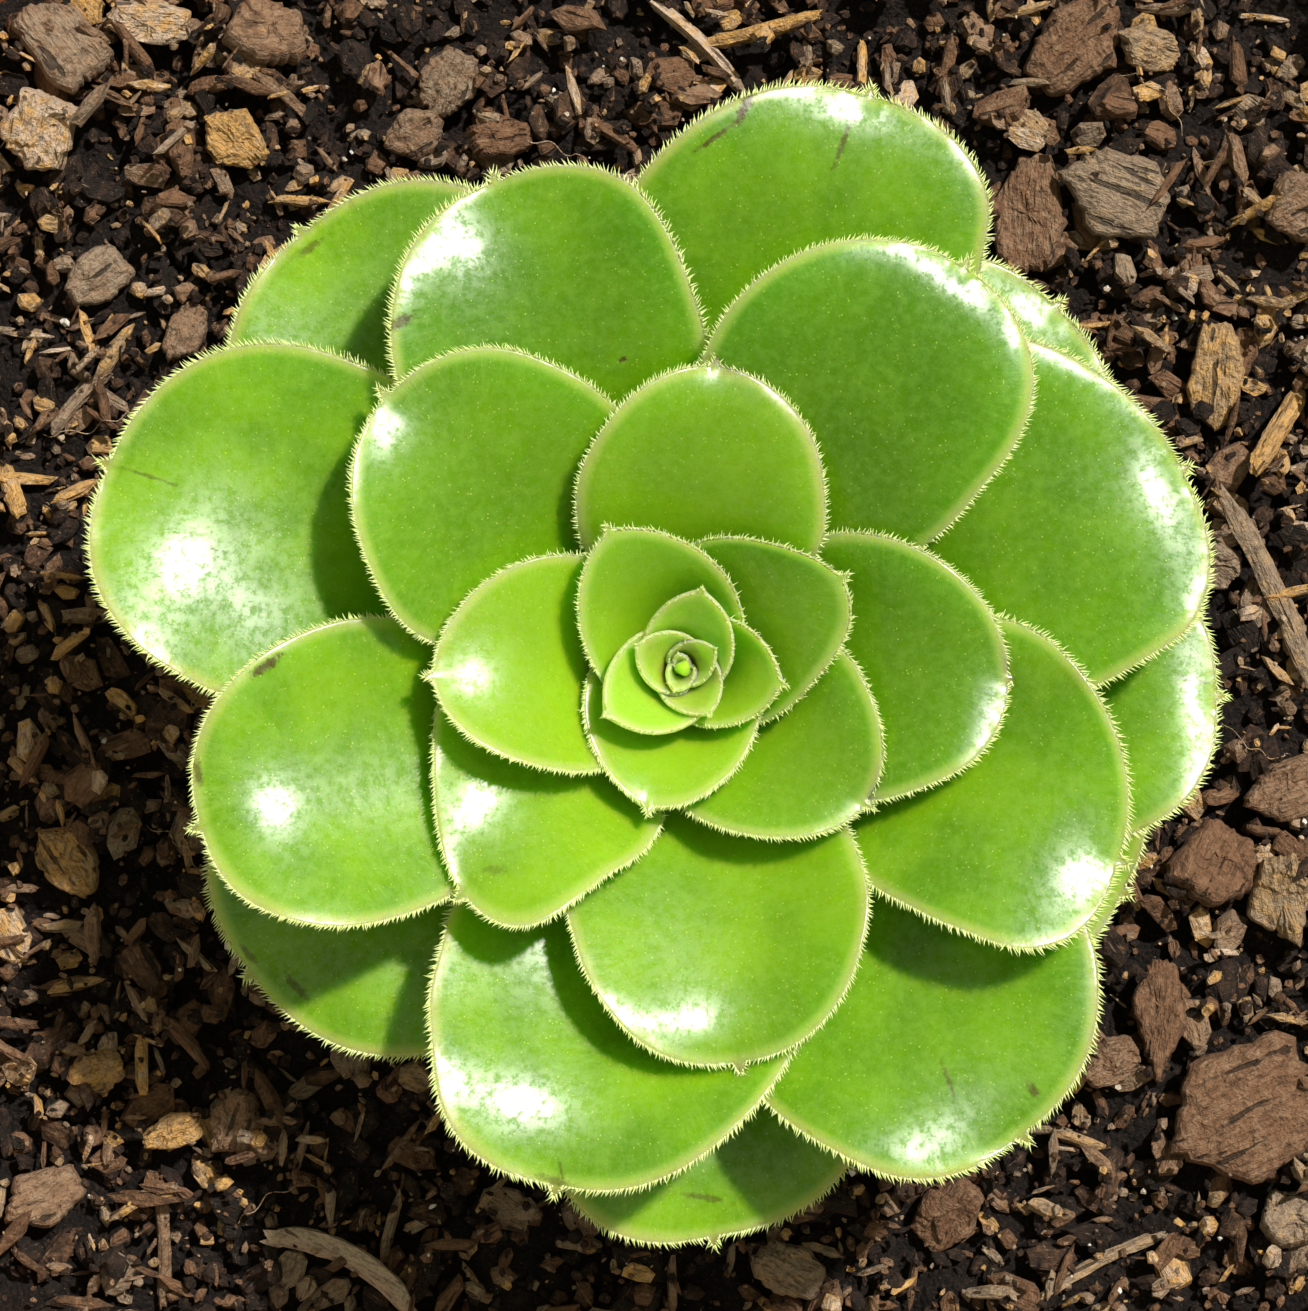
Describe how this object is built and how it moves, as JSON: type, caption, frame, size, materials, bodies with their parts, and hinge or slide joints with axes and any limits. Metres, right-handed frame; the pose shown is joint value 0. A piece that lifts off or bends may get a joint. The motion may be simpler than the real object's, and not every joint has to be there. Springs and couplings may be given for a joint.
{
  "type": "potted tree aeonium",
  "caption": "Flat rosette of broad, glossy green leaves on a short woody stem, growing in bark potting mix in a plain round clay pot.",
  "frame": {"origin": "middle of the pot's underside, on the surface that it stands on", "axes": "+Z up along the stem and the pot's axis; seen from above, +X is to the right and +Y is up, as in the picture"},
  "size_m": [0.24, 0.24, 0.1559],
  "materials": {
    "leaf": "smooth, waxy gloss",
    "young_leaf": "smooth, soft gloss",
    "bark": "matte, cracked",
    "potting_mix": "matte, rough",
    "clay": "matte, unglazed"
  },
  "bodies": {
    "root": {"pot": "clay", "potting_mix": "potting_mix", "stem": "bark", "bud": "young_leaf", "leaf_08": "leaf", "leaf_09": "leaf", "leaf_10": "leaf", "leaf_11": "leaf", "leaf_12": "leaf", "leaf_13": "leaf", "leaf_14": "leaf", "leaf_15": "leaf", "leaf_16": "leaf", "leaf_17": "leaf", "leaf_18": "leaf", "leaf_19": "leaf", "leaf_20": "leaf", "leaf_21": "leaf", "leaf_22": "leaf", "leaf_23": "leaf", "leaf_24": "leaf", "leaf_25": "leaf", "leaf_26": "leaf", "leaf_27": "leaf", "leaf_28": "leaf", "leaf_29": "leaf", "leaf_30": "leaf", "leaf_31": "leaf", "leaf_32": "leaf", "leaf_33": "leaf", "leaf_34": "leaf"}
  },
  "joints": []
}
